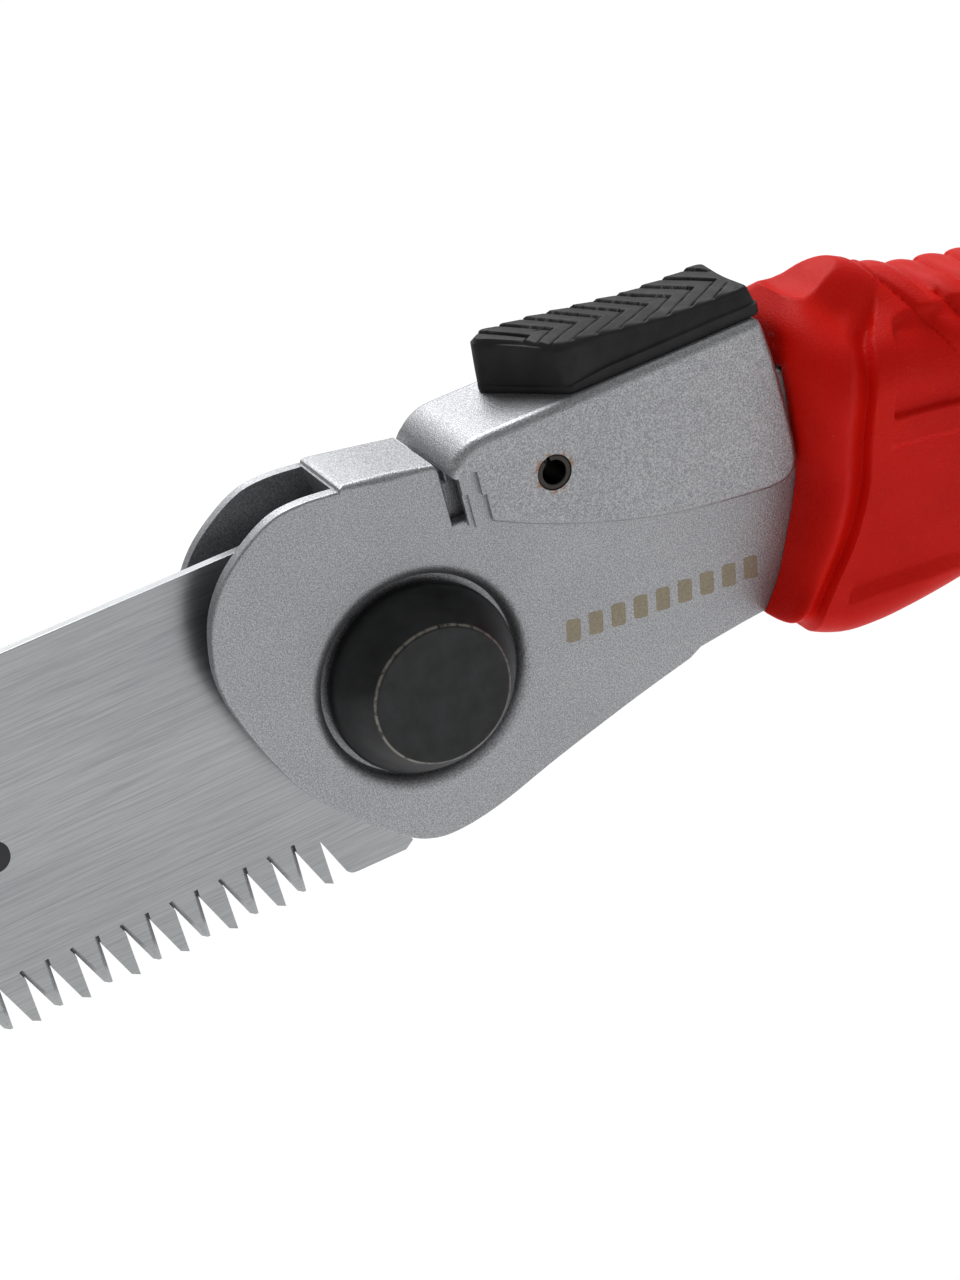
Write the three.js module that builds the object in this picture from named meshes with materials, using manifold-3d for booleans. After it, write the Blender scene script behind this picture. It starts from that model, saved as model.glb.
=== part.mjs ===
// Folding pruning saw, blade locked open. Millimetres.
// The model is drawn about the pivot: X towards the handle, Z up to the lever side, Y across the blade.
// The group is then shifted along Y, so that the origin is the centre of the pivot button's flat face.
import * as THREE from "three";
import { mergeVertices } from "three/addons/utils/BufferGeometryUtils.js";
import Module from "manifold-3d";

const wasm = await Module();
wasm.setup();

// ---- driving dimensions ----
const GAP = 0.3; // clearance between pieces that touch
const BUTTON_FACE = 10.6; // button face, from the middle plane of the blade

const BLADE_HALF = 0.6; // half the blade's thickness
const SPINE_Z = 20.8;
const TIP_Z = -21.8; // line of the tooth points
const TOOTH_PITCH = 3;
const TOOTH_DEPTH = 5.6;
const TOOTH_COUNT = 67;
const FIRST_TOOTH_X = -15.4;
const TANG_R = 14.4; // round cam of the tang, under the latch finger
const BLADE_BORE_R = 5.1;

const CHEEK_IN = 4; // inner face of a cheek
const CHEEK_OUT = 5.5;
const BOSS_R = 13.4;
const BOSS_NEAR_Y = -1.9;
const BOSS_FAR_Y = 2.9;
const SHANK_R = 4;
const BUTTON_R = 11.2;
const BUTTON_TOP_R = 7.96;
const DISH_R = 11.7;
const DISH_RIM_R = 13.2;
const DISH_FLOOR = 4.2;

const LEVER_PIN = [20, 17.7];
const LEVER_PIN_R = 2;
const LEVER_IN = CHEEK_OUT + GAP;
const LEVER_OUT = 7.3;
const LEVER_TOP = 25;
const LEVER_PLATE = 1.8;

const SPRING_X = 37;
const SPRING_SEAT_Z = 14.9;
const SPRING_R = 2.4;
const WIRE_R = 0.4;

const SKIN = 3; // thickness of the red rubber on the handle
const TOP_POWER = 2; // roundness of the handle's section, above and below
const BOTTOM_POWER = 2.6;
const SLOT_HALF = 3.2; // half width of the slot that takes the folded blade
const FOLD_SLOPE = 0.3057; // slope of the tooth line when the blade is folded
const FOLD_Z = 22.8; // height of that line over the pivot
const TONGUE_END = 100;
const DISH = [56, 23.4, 13]; // oval dish on the hump: X and Z of its lowest point, radius
const CORE_START = 51;
const SCREWS = [[88, 5], [135, -9], [185, -24]];
const SCREW_HEAD_R = 3.8;
const SCREW_SHANK_R = 1.7;
const SLEEVE_R = 2.8;
const EYELET = [231.5, -47.5];
const EYELET_R = 4;
const EYELET_BORE_R = 3.2;

// Stations of the handle: X, bottom, top, half width.
const HANDLE = [
  [41, -11, 20.6, 8.6],
  [43, -12.6, 21, 10.4],
  [46, -13.6, 21.4, 11.8],
  [50, -14, 22.6, 12.8],
  [53, -14, 24.3, 12.9],
  [57, -14, 25.2, 12.8],
  [61, -13.8, 25.3, 12.6],
  [64, -13.7, 24, 12.5],
  [67, -13.6, 21.2, 12.3],
  [70, -13.6, 20.1, 12.2],
  [78, -14, 18.6, 12],
  [92, -16.4, 15, 12.2],
  [112, -20.8, 9, 12.9],
  [140, -29.2, 0.8, 13.4],
  [170, -38.2, -8.4, 13],
  [198, -47, -17.2, 12.4],
  [216, -53.6, -23.4, 12.2],
  [226, -57.6, -28.4, 12],
];
const TAIL = [
  [226.4, -57.6, -28.6, 12],
  [233, -59.4, -33, 11.4],
  [238, -58, -38, 9.6],
  [240.5, -54.5, -43.5, 6.4],
];

// ---- solids ----
function toSolid(geometry) {
  const g = geometry.index ? geometry.clone() : geometry;
  g.deleteAttribute("normal");
  g.deleteAttribute("uv");
  const merged = mergeVertices(g, 1e-4);
  return new wasm.Manifold(new wasm.Mesh({
    numProp: 3,
    vertProperties: merged.attributes.position.array,
    triVerts: new Uint32Array(merged.index.array),
  }));
}

function toGeometry(solid) {
  const m = solid.getMesh();
  const g = new THREE.BufferGeometry();
  const flat = new Float32Array(m.numVert * 3);
  for (let i = 0; i < m.numVert; i++) {
    flat.set(m.vertProperties.subarray(i * m.numProp, i * m.numProp + 3), i * 3);
  }
  g.setAttribute("position", new THREE.BufferAttribute(flat, 3));
  g.setIndex(new THREE.BufferAttribute(m.triVerts, 1));
  g.computeVertexNormals();
  return g;
}

// An outline in X and Z, given depth from y0 to y1. A bevel rounds its two rims.
function plate(outline, y0, y1, bevel = 0) {
  const shape = new THREE.Shape(outline.map(([x, z]) => new THREE.Vector2(x, z)));
  const g = new THREE.ExtrudeGeometry(shape, {
    depth: y1 - y0 - 2 * bevel,
    curveSegments: 12,
    bevelEnabled: bevel > 0,
    bevelThickness: bevel,
    bevelSize: bevel,
    bevelOffset: -bevel,
    bevelSegments: 1,
  });
  g.rotateX(Math.PI / 2);
  g.translate(0, y1 - bevel, 0);
  return toSolid(g);
}

// A round bar along Y at [x, z].
function bar(r, y0, y1, at = [0, 0], sides = 36, r2 = r) {
  const g = new THREE.CylinderGeometry(r2, r, y1 - y0, sides);
  g.translate(at[0], (y0 + y1) / 2, at[1]);
  return toSolid(g);
}

function box(x0, x1, y0, y1, z0, z1) {
  const g = new THREE.BoxGeometry(x1 - x0, y1 - y0, z1 - z0);
  g.translate((x0 + x1) / 2, (y0 + y1) / 2, (z0 + z1) / 2);
  return toSolid(g);
}

// A profile of [radius, y] turned about the pivot axis.
function turned(profile, at = [0, 0], sides = 36) {
  const g = new THREE.LatheGeometry(profile.map(([r, y]) => new THREE.Vector2(r, y)), sides);
  g.translate(at[0], 0, at[1]);
  const s = toSolid(g);
  return s.volume() < 0 ? toSolid(flip(g)) : s;
}

function flip(g) {
  const index = g.index.array;
  for (let i = 0; i < index.length; i += 3) {
    [index[i + 1], index[i + 2]] = [index[i + 2], index[i + 1]];
  }
  return g;
}

// Rounded sections joined along X. Each station is X, bottom, top and half width.
function loft(stations, inset = 0, around = 22) {
  const points = [];
  const faces = [];
  const ring = (s) => {
    const [x, z0, z1, w] = s;
    const mid = (z0 + z1) / 2;
    const h = (z1 - z0) / 2 - inset;
    for (let i = 0; i < around; i++) {
      const a = (2 * Math.PI * i) / around;
      const c = Math.cos(a);
      const n = Math.sin(a);
      const power = n > 0 ? TOP_POWER : BOTTOM_POWER;
      const y = Math.sign(c) * Math.abs(c) ** (2 / power) * (w - inset);
      const z = mid + Math.sign(n) * Math.abs(n) ** (2 / power) * h;
      points.push(x, y, z);
    }
  };
  stations.forEach(ring);
  for (let k = 0; k + 1 < stations.length; k++) {
    for (let i = 0; i < around; i++) {
      const j = (i + 1) % around;
      const a = k * around;
      const b = a + around;
      faces.push(a + i, a + j, b + i, a + j, b + j, b + i);
    }
  }
  for (const [k, out] of [[0, -1], [stations.length - 1, 1]]) {
    const [x, z0, z1] = stations[k];
    const centre = points.length / 3;
    points.push(x, 0, (z0 + z1) / 2);
    for (let i = 0; i < around; i++) {
      const p = k * around + i;
      const q = k * around + ((i + 1) % around);
      faces.push(centre, out > 0 ? p : q, out > 0 ? q : p);
    }
  }
  const g = new THREE.BufferGeometry();
  g.setAttribute("position", new THREE.Float32BufferAttribute(points, 3));
  g.setIndex(faces);
  const s = toSolid(g);
  return s.volume() < 0 ? toSolid(flip(g)) : s;
}

// ---- materials ----
const material = (color, roughness, metalness) =>
  new THREE.MeshStandardMaterial({ color, roughness, metalness });
const groundSteel = () => material(0xa9adad, 0.3, 1);
const castSilver = () => material(0xb4b7bb, 0.45, 0.9);
const blackOxide = () => material(0x2a2b2d, 0.35, 0.8);
const brightSteel = () => material(0xc4c6c8, 0.25, 1);
const springSteel = () => material(0x8a8d90, 0.3, 1);
const bronze = () => material(0xa8793f, 0.4, 0.9);
const blackRubber = () => material(0x1c1c1d, 0.75, 0);
const darkNylon = () => material(0x33353a, 0.6, 0);
const redRubber = () => material(0xd9200f, 0.5, 0);

// ---- the blade ----
// Pull teeth: the edge facing the handle is square to the blade, the back slopes and the point is clipped.
function toothLine() {
  const line = [];
  for (let i = 0; i < TOOTH_COUNT; i++) {
    const x = FIRST_TOOTH_X - i * TOOTH_PITCH;
    line.push([x, TIP_Z + TOOTH_DEPTH], [x, TIP_Z], [x - 0.95, TIP_Z + 0.5]);
  }
  return line;
}

function bladeOutline() {
  const teeth = toothLine();
  const end = FIRST_TOOTH_X - TOOTH_COUNT * TOOTH_PITCH;
  const nose = [
    [end, TIP_Z + TOOTH_DEPTH], [end - 1, TIP_Z + 0.6], [end - 3.4, TIP_Z + 0.8], [end - 5, TIP_Z + 2.6],
    [end - 5.2, -8], [end - 4.2, -4.4], [end - 1.4, -1.6],
  ];
  const spine = [[-190, 5.6], [-150, 12.8], [-110, 18], [-80, 20.3], [-58, SPINE_Z], [-4, SPINE_Z]];
  const hook = [[1, 20.2], [4.2, 18.4], [4.4, 13.7]];
  const cam = [];
  for (let deg = 70; deg >= -126; deg -= 7) {
    const a = (deg * Math.PI) / 180;
    cam.push([TANG_R * Math.cos(a), TANG_R * Math.sin(a)]);
  }
  const heel = [
    [-8.7, -11.6], [-4.9, -21.2], [-6, -22], [-12.4, -21.9], [-13.3, -21.3],
  ];
  return [...teeth, ...nose, ...spine, ...hook, ...cam, ...heel];
}

function blade() {
  return plate(bladeOutline(), -BLADE_HALF, BLADE_HALF).subtract(bar(BLADE_BORE_R, -2, 2));
}

// ---- the head ----
const CHEEK = [
  [-3.5, 25.3], [-8, 25.6], [-10.4, 25.4], [-12.9, 24.5], [-15.4, 23], [-18, 21], [-20.1, 18.3],
  [-21.4, 15.1], [-22.1, 11.9], [-22.1, 8.6], [-21.5, 5.3], [-19.8, 0.2], [-17.2, -6.2],
  [-12.6, -11.8], [-6.3, -18], [-3.6, -19.3], [-0.8, -19.6], [4.8, -18.9], [13, -16.5],
  [23.4, -13.8], [31.4, -12], [33.2, -11.2], [38.8, -10.6], [55, -9.4], [80, -10.2],
  [TONGUE_END, -15], [TONGUE_END, 5], [80, 11], [60, 16.2], [48.5, 17.2], [20.5, 22], [14.6, 21.6],
  [12.4, 19.6], [11.9, 15.7], [7.8, 15.9], [7.8, 23.2],
];

function cheek(side) {
  const [y0, y1] = side < 0 ? [-CHEEK_OUT, -CHEEK_IN] : [CHEEK_IN, CHEEK_OUT];
  const bossEnd = side < 0 ? BOSS_NEAR_Y : BOSS_FAR_Y;
  const inner = side * (CHEEK_IN + 0.4);
  const span = (a, b) => [Math.min(a, b), Math.max(a, b)];
  const rim = span(side * CHEEK_OUT, side * DISH_FLOOR);
  const boss = bar(BOSS_R, ...span(inner, bossEnd));
  const pinBoss = bar(4, ...span(inner, side * 2.4), LEVER_PIN, 24);
  const small = side < 0 ? DISH_RIM_R : DISH_R;
  const large = side < 0 ? DISH_R : DISH_RIM_R;
  return plate(CHEEK, y0, y1, 0.35)
    .add(boss)
    .add(pinBoss)
    .subtract(bar(small, rim[0], rim[1], [0, 0], 36, large))
    .subtract(bar(SHANK_R + GAP, -12, 12))
    .subtract(bar(LEVER_PIN_R + 0.08, -12, 12, LEVER_PIN, 24));
}

function headFrame() {
  const bridge = [
    [-3.5, 21.6], [-3.9, 24], [-3.4, 25.2], [2, 24.5], [7.8, 23.3], [7.8, 21.9],
  ];
  const seat = box(SPRING_X - 4, SPRING_X + 4, -CHEEK_IN - 0.5, CHEEK_IN + 0.5, 13.3, SPRING_SEAT_Z);
  const web = plate([[62, 12.4], [96, 2.6], [96, 5.8], [80, 10.5], [62, 15.4]], -CHEEK_IN - 0.5, CHEEK_IN + 0.5);
  let s = cheek(-1).add(cheek(1))
    .add(plate(bridge, -CHEEK_OUT + 0.35, CHEEK_OUT - 0.35))
    .add(seat)
    .add(web);
  for (const at of SCREWS.slice(0, 1)) {
    s = s.subtract(bar(SLEEVE_R + GAP, -12, 12, at, 20));
  }
  return s;
}

// ---- the pivot ----
function pivotBolt() {
  return turned([
    [0, -BUTTON_FACE], [BUTTON_TOP_R, -BUTTON_FACE], [BUTTON_TOP_R + 0.3, -BUTTON_FACE + 0.3],
    [BUTTON_R, -5.8], [BUTTON_R, -DISH_FLOOR - GAP], [SHANK_R, -DISH_FLOOR - GAP],
    [SHANK_R, 8], [0, 8],
  ], [0, 0], 48);
}

function pivotNut() {
  return turned([
    [SHANK_R + GAP, DISH_FLOOR + GAP], [BUTTON_R, DISH_FLOOR + GAP], [BUTTON_R, 5.6],
    [8.6, 9.2], [0, 9.2], [0, 8.3], [SHANK_R + GAP, 8.3], [SHANK_R + GAP, DISH_FLOOR + GAP],
  ], [0, 0], 36).subtract(box(-20, 20, 8.5, 20, -1, 1));
}

const washer = (r0, r1, y0, y1) =>
  turned([[r0, y0], [r1, y0], [r1, y1], [r0, y1], [r0, y0]]);

// ---- the lock ----
const LEVER_SIDE = [
  [9.3, 16.9], [10.4, 16.3], [15.5, 13.4], [21, 10.6], [26.9, 8.4], [32.9, 6.8], [39.2, 5.6],
  [45.6, 4.7], [47.8, 4.9], [48.9, 6.4], [49.1, 12], [48.8, 19], [48, LEVER_TOP], [11.4, LEVER_TOP],
  [9.4, 24.2], [8.4, 22.4], [9.3, 22],
];

function lockLever() {
  const plateBox = box(14, 60, -LEVER_IN, LEVER_IN, 0, LEVER_TOP - LEVER_PLATE);
  const frontPocket = box(10.7, 20, -LEVER_IN, LEVER_IN, 0, LEVER_TOP - LEVER_PLATE);
  const undercut = box(0, 10.8, -LEVER_IN, LEVER_IN, 0, 21.4);
  const finger = plate([
    [8.4, 22.6], [8.4, 19.9], [5, 18.9], [5, 14], [7.8, 12.75], [10.4, 10.75], [10.4, 23.6], [8.8, 23.6],
  ], -3.6, 3.6);
  return plate(LEVER_SIDE, -LEVER_OUT, LEVER_OUT, 0.8)
    .subtract(plateBox)
    .subtract(frontPocket)
    .subtract(undercut)
    .add(finger)
    .subtract(bar(LEVER_PIN_R + 0.05, -12, 12, LEVER_PIN, 24))
    .subtract(pegHole(28))
    .subtract(pegHole(42));
}

function pegHole(x) {
  const g = new THREE.CylinderGeometry(1.8, 1.8, 6, 16);
  g.rotateX(Math.PI / 2);
  g.translate(x, 0, LEVER_TOP);
  return toSolid(g);
}

function peg(x) {
  const g = new THREE.CylinderGeometry(1.5, 1.5, 3, 16);
  g.rotateX(Math.PI / 2);
  g.translate(x, 0, LEVER_TOP);
  return toSolid(g);
}

// The pad's plan is a slab with a pointed front; its side view falls from front to rear.
function thumbPad() {
  const base = LEVER_TOP + GAP;
  const plan = [[17.3, 3.8], [24.2, -6.3], [48.6, -6.3], [48.9, 0], [48.6, 5.8], [19.6, 5.8]];
  const g = new THREE.ExtrudeGeometry(
    new THREE.Shape(plan.map(([x, y]) => new THREE.Vector2(x, y))),
    { depth: 8, bevelEnabled: false },
  );
  g.translate(0, 0, base);
  const side = [
    [15.5, base], [50.5, base], [49, 28.2], [44, 28], [38, 28.3], [33, 29.2], [26, 30.4], [20, 31.3], [16.3, 31.6],
  ];
  let pad = toSolid(g).intersect(plate(side, -8, 8));
  for (let i = 0; i < 7; i++) {
    const x = 24.5 + i * 3.4;
    for (const turn of [-1, 1]) {
      const groove = new THREE.BoxGeometry(0.5, 9, 0.9);
      groove.rotateZ((turn * Math.PI) / 4.2);
      groove.translate(x, turn * 3, 30.9 - Math.min(2.9, 0.17 * (x - 20)));
      pad = pad.subtract(toSolid(groove));
    }
  }
  return pad.add(peg(28)).add(peg(42));
}

// Slotted spring pin, one on each side, flush with the lever and clear of the blade.
function leverPin(side) {
  const [y0, y1] = side < 0 ? [-LEVER_OUT, -2.6] : [2.6, LEVER_OUT];
  const [x, z] = LEVER_PIN;
  return bar(LEVER_PIN_R, y0, y1, LEVER_PIN, 24)
    .subtract(bar(1.3, y0 - 1, y1 + 1, LEVER_PIN, 24))
    .subtract(box(x - 0.25, x + 0.25, y0 - 1, y1 + 1, z, z + 3));
}

function lockSpring() {
  const z0 = SPRING_SEAT_Z + GAP + WIRE_R;
  const z1 = LEVER_TOP - LEVER_PLATE - GAP - WIRE_R;
  const turns = 5;
  const points = [];
  for (let i = 0; i <= turns * 9; i++) {
    const a = (i * 2 * Math.PI) / 9;
    const z = z0 + ((z1 - z0) * i) / (turns * 9);
    points.push(new THREE.Vector3(SPRING_X + SPRING_R * Math.cos(a), SPRING_R * Math.sin(a), z));
  }
  const section = new THREE.Shape();
  section.absarc(0, 0, WIRE_R, 0, 2 * Math.PI);
  return toSolid(new THREE.ExtrudeGeometry(section, {
    steps: turns * 9,
    curveSegments: 3,
    extrudePath: new THREE.CatmullRomCurve3(points),
  }));
}

// ---- the handle ----
const half = (side) => side < 0
  ? box(0, 300, -40, -GAP / 2, -120, 60)
  : box(0, 300, GAP / 2, 40, -120, 60);

// The slot that takes the folded blade, open below.
function bladeSlot(wide, xEnd, over) {
  const line = (x) => FOLD_Z + over - FOLD_SLOPE * x;
  return plate([[30, -120], [xEnd, -120], [xEnd, line(xEnd)], [30, line(30)]], -wide, wide);
}

// The space for the head and its tongue, which goes back between the two halves.
function tonguePocket(room) {
  const r = room;
  return plate([
    [30, -10.6 - r], [38.8, -10.6 - r], [55, -9.4 - r], [80, -10.2 - r], [TONGUE_END + r, -15 - r],
    [TONGUE_END + r, 5 + r], [80, 11 + r], [60, 16.2 + r], [48.5, 17.4 + r], [30, 21 + r],
  ], -CHEEK_OUT - r, CHEEK_OUT + r);
}

function inner(inset) {
  const inside = HANDLE.filter(([x]) => x > CORE_START);
  const first = [CORE_START - (inset < SKIN ? GAP : 0), ...HANDLE[3].slice(1)];
  const last = HANDLE[HANDLE.length - 1];
  inside[inside.length - 1] = [last[0] - (inset < SKIN ? 1 : 1.4), ...last.slice(1)];
  return loft([first, ...inside], inset);
}

function core(side) {
  let s = inner(SKIN)
    .intersect(half(side))
    .subtract(tonguePocket(GAP))
    .subtract(box(30, TONGUE_END + GAP, -CHEEK_OUT - GAP, CHEEK_OUT + GAP, -30, -8))
    .subtract(bladeSlot(SLOT_HALF, 222, 3))
    .subtract(box(30, 66, -8, 8, DISH[1] - 1.2, 60));
  for (const at of SCREWS) {
    const headSpan = side < 0 ? [-14, -7.2] : [7.2, 14];
    s = s.subtract(bar(SLEEVE_R + GAP, -14, 14, at, 20))
      .subtract(bar(SCREW_HEAD_R + GAP, ...headSpan, at, 20));
  }
  return s;
}

// The oval dish on the hump, and the place where the lever's rear end swings.
function leverRoom() {
  const [dishX, dishLow, dishR] = DISH;
  const front = [
    [30, 60], [53, 60], [52.4, 23.6], [50.6, 19.4], [49.9, 17], [49.9, 4.2], [48.4, 2], [46.6, -2.4], [44.5, -7],
    [41.7, -10.4], [40.6, -20], [30, -20],
  ];
  return plate(front, -20, 20).add(bar(dishR, -20, 20, [dishX, dishLow + dishR], 96));
}

function gripGrooves(side) {
  const cuts = [];
  for (let i = 0; i < 11; i++) {
    const x = 72 + i * 4.2;
    const top = x < 78 ? 19.8 - 0.2 * (x - 72) : 18.6 - 0.26 * (x - 78);
    const g = new THREE.CylinderGeometry(0.9, 0.9, 14, 10);
    g.rotateX(Math.PI / 2);
    g.rotateX(Math.PI / 2);
    g.translate(x, side * 6, top + 0.1);
    cuts.push(toSolid(g));
  }
  return cuts.reduce((a, b) => a.add(b));
}

function grip(side) {
  let s = loft(HANDLE)
    .intersect(half(side))
    .subtract(inner(SKIN - GAP))
    .subtract(tonguePocket(GAP))
    .subtract(leverRoom())
    .subtract(bladeSlot(SLOT_HALF, 222, 3))
    .subtract(gripGrooves(side));
  for (const at of SCREWS) {
    s = s.subtract(bar(SCREW_HEAD_R + 1, ...(side < 0 ? [-20, -7] : [7, 20]), at, 20));
  }
  return s;
}

function handleScrew(at) {
  return turned([
    [0, -9.4], [SCREW_HEAD_R - 0.4, -9.4], [SCREW_HEAD_R, -9], [SCREW_HEAD_R, -7.5], [SCREW_SHANK_R, -7.5],
    [SCREW_SHANK_R, 5], [0, 5],
  ], at, 20).subtract(bar(1.6, -10, -8.2, at, 6));
}

function sleeveNut(at) {
  return turned([
    [SCREW_SHANK_R + GAP, -4], [SLEEVE_R, -4], [SLEEVE_R, 7.5], [SCREW_HEAD_R, 7.5], [SCREW_HEAD_R, 9],
    [SCREW_HEAD_R - 0.4, 9.4], [0, 9.4], [0, 5.3], [SCREW_SHANK_R + GAP, 5.3], [SCREW_SHANK_R + GAP, -4],
  ], at, 20).subtract(box(at[0] - 5, at[0] + 5, 8.6, 12, at[1] - 0.6, at[1] + 0.6));
}

function tailCap() {
  const seat = bar(5.4, 9.4, 20, EYELET, 24).add(bar(5.4, -20, -9.4, EYELET, 24));
  return loft(TAIL).subtract(bar(EYELET_R + GAP, -20, 20, EYELET, 24)).subtract(seat);
}

function lanyardEyelet() {
  const w = 10.2;
  return turned([
    [EYELET_BORE_R, -w], [4.6, -w], [5, -w + 0.4], [EYELET_R, -w + 0.8], [EYELET_R, w - 0.8],
    [5, w - 0.4], [4.6, w], [EYELET_BORE_R, w], [EYELET_BORE_R, -w],
  ], EYELET, 24);
}

// ---- assembly ----
const group = new THREE.Group();
group.name = "folding_saw";

function put(name, solid, mat) {
  const mesh = new THREE.Mesh(toGeometry(solid), mat);
  mesh.name = name;
  group.add(mesh);
}

put("blade", blade(), groundSteel());
put("head_frame", headFrame(), castSilver());
put("pivot_bolt", pivotBolt(), blackOxide());
put("pivot_nut", pivotNut(), blackOxide());
put("pivot_bushing", washer(SHANK_R + GAP, 5, BOSS_NEAR_Y + GAP, BOSS_FAR_Y - GAP), bronze());
put("thrust_washer_near", washer(5.3, 11.5, -1.6, -0.9), bronze());
put("thrust_washer_far", washer(5.3, 11.5, 0.9, 1.6), bronze());
put("wave_washer", washer(5.3, 10, 1.9, 2.6), springSteel());
put("lock_lever", lockLever(), castSilver());
put("thumb_pad", thumbPad(), blackRubber());
put("lever_pin_near", leverPin(-1), blackOxide());
put("lever_pin_far", leverPin(1), blackOxide());
put("lock_spring", lockSpring(), springSteel());
put("core_near", core(-1), darkNylon());
put("core_far", core(1), darkNylon());
put("grip_near", grip(-1), redRubber());
put("grip_far", grip(1), redRubber());
SCREWS.forEach((at, i) => {
  put("handle_screw_" + (i + 1), handleScrew(at), brightSteel());
  put("sleeve_nut_" + (i + 1), sleeveNut(at), brightSteel());
});
put("tail_cap", tailCap(), darkNylon());
put("lanyard_eyelet", lanyardEyelet(), brightSteel());

group.position.y = BUTTON_FACE;

export default group;
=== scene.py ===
import math

import bmesh
import bpy
import numpy as np
from mathutils import Matrix, Vector


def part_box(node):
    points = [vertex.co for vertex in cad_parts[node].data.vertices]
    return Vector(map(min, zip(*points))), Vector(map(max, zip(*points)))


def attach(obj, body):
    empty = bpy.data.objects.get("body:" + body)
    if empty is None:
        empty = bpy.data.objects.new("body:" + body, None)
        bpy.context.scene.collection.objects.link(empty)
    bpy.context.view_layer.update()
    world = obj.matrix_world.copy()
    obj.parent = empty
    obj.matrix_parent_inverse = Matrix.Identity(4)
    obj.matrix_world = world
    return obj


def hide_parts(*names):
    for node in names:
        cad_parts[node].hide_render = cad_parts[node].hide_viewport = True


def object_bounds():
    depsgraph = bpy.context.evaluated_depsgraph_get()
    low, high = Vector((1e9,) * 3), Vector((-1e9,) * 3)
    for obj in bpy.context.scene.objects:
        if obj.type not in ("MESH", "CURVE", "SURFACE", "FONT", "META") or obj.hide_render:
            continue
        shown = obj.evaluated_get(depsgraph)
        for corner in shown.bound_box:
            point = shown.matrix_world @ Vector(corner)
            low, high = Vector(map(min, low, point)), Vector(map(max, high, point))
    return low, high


# Folding pruning saw, blade locked open.
# Lengths are millimetres about the pivot: X to the handle, Z to the lever side, and Y from the blade's
# middle plane to the far side.

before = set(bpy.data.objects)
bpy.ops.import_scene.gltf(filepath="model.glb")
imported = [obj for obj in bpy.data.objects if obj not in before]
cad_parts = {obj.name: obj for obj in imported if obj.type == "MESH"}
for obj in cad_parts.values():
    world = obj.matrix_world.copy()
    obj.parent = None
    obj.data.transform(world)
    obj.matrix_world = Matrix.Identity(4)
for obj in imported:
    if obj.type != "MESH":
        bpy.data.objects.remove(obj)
cad_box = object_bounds()
blade_low, blade_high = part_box("blade")
MID = Vector((0, (blade_low.y + blade_high.y) / 2, 0))
MM = 0.001

# ---- driving sizes ----
BLADE_HALF = 0.6
SPINE_Z = 20.8
TIP_Z = -21.8
TOOTH_PITCH = 3
TOOTH_DEPTH = 5.6
TOOTH_COUNT = 67
FIRST_TOOTH_X = -15.4
TOOTH_FACET = (0.95, 0.5)  # length and rise of the clipped tooth point
TOOTH_SET = 0.4  # sideways lean of a tooth point
BEVEL_WIDTH = 0.46
BEVEL_DEPTH = 0.34
BEVEL_RUNOUT = 1.0
TANG_R = 14.4
BLADE_BORE_R = 5.1
PRINT_PROUD = 0.03

CHEEK_IN = 4
CHEEK_OUT = 5.5
SHANK_R = 4
BUTTON_FACE = 10.6
BUTTON_R = 11.1
BUTTON_TOP_R = 7.96
DISH_R = 11.7
DISH_RIM_R = 13.5
DISH_FLOOR = 3.6
BLADE_BOSS_R = 13.4
PIN_BOSS_R = 4
ETCH_PROUD = 0.015
THROUGH = 12  # half length of a tool that drills right through the head

PIN = (20, 17.7)
PIN_R = 2
PIN_WALL = 0.62
LEVER_IN = 5.8
LEVER_OUT = 7.3
LEVER_TOP = 25
LEVER_PLATE = 1.8
FINGER_HALF = 3.6

PAD_FRONT = 17.5
PAD_REAR = 48.9
PAD_HALF = 6.3
PAD_FAR = 5.7
PAD_PITCH = 2.9
TREAD_APEX_Y = -1.2
TREAD_ARMS = (0.62, 1.35)  # slopes of a rib's far and near arms
TREAD_RISE = 0.28
TREAD_GROOVE = (0.15, 0.5)  # half width and depth

SLOT_HALF = 3.4
SCREWS = [(88, 5), (135, -9), (185, -24)]
SCREW_HOLE_R = 4.8
EYELET = (231.5, -47.5)
EYELET_HOLE_R = 4.3
EYELET_SEAT_R = 5.4
HANDLE_END = 226

# Handle stations: X, bottom, top, half width, radius of the upper corners, middle of the side ridge.
HANDLE = [
    (40, -8.6, 22.6, 12.4, 10.8, 9),
    (44, -12.4, 22.8, 12.6, 11, 9),
    (48, -14.4, 23, 12.8, 11, 8.9),
    (53, -15.1, 23, 12.9, 10.8, 8.6),
    (57.5, -15.1, 19.6, 12.8, 7, 8),
    (62, -14.9, 19.3, 12.6, 7, 7.3),
    (66, -14.6, 19.3, 12.4, 9, 6.5),
    (72, -14.4, 18.8, 12.1, 9.6, 5.2),
    (78, -14.6, 17.6, 12, 9.6, 3.9),
    (92, -16.6, 14.4, 12.2, 9.6, 0.6),
    (112, -20.9, 9, 12.9, 9.6, -5),
    (140, -29.2, 0.8, 13.4, 9.6, -13.4),
    (170, -38.2, -8.4, 13, 9.6, -22.6),
    (198, -47, -17.2, 12.4, 9.6, -31.4),
    (216, -53.6, -23.4, 12.2, 9.6, -37.8),
    (227, -57.8, -28.8, 12, 9.6, -42.6),
]
LOWER_CORNER = 4
# The hump behind the pad: X and height of its crest before the dish is cut.
CREST = [
    (50, 22.5), (53.1, 24), (55.2, 24.9), (57, 25.3), (58.6, 25.4), (60.6, 25.1), (62.2, 24.5), (63.4, 23.8),
    (64.6, 22.8), (65.4, 21.9), (66.6, 20.9), (68, 20.2), (70, 19),
]
HUMP_HALF = 3.9
HUMP_BLEND = 5.5
HUMP_END = 69
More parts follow.
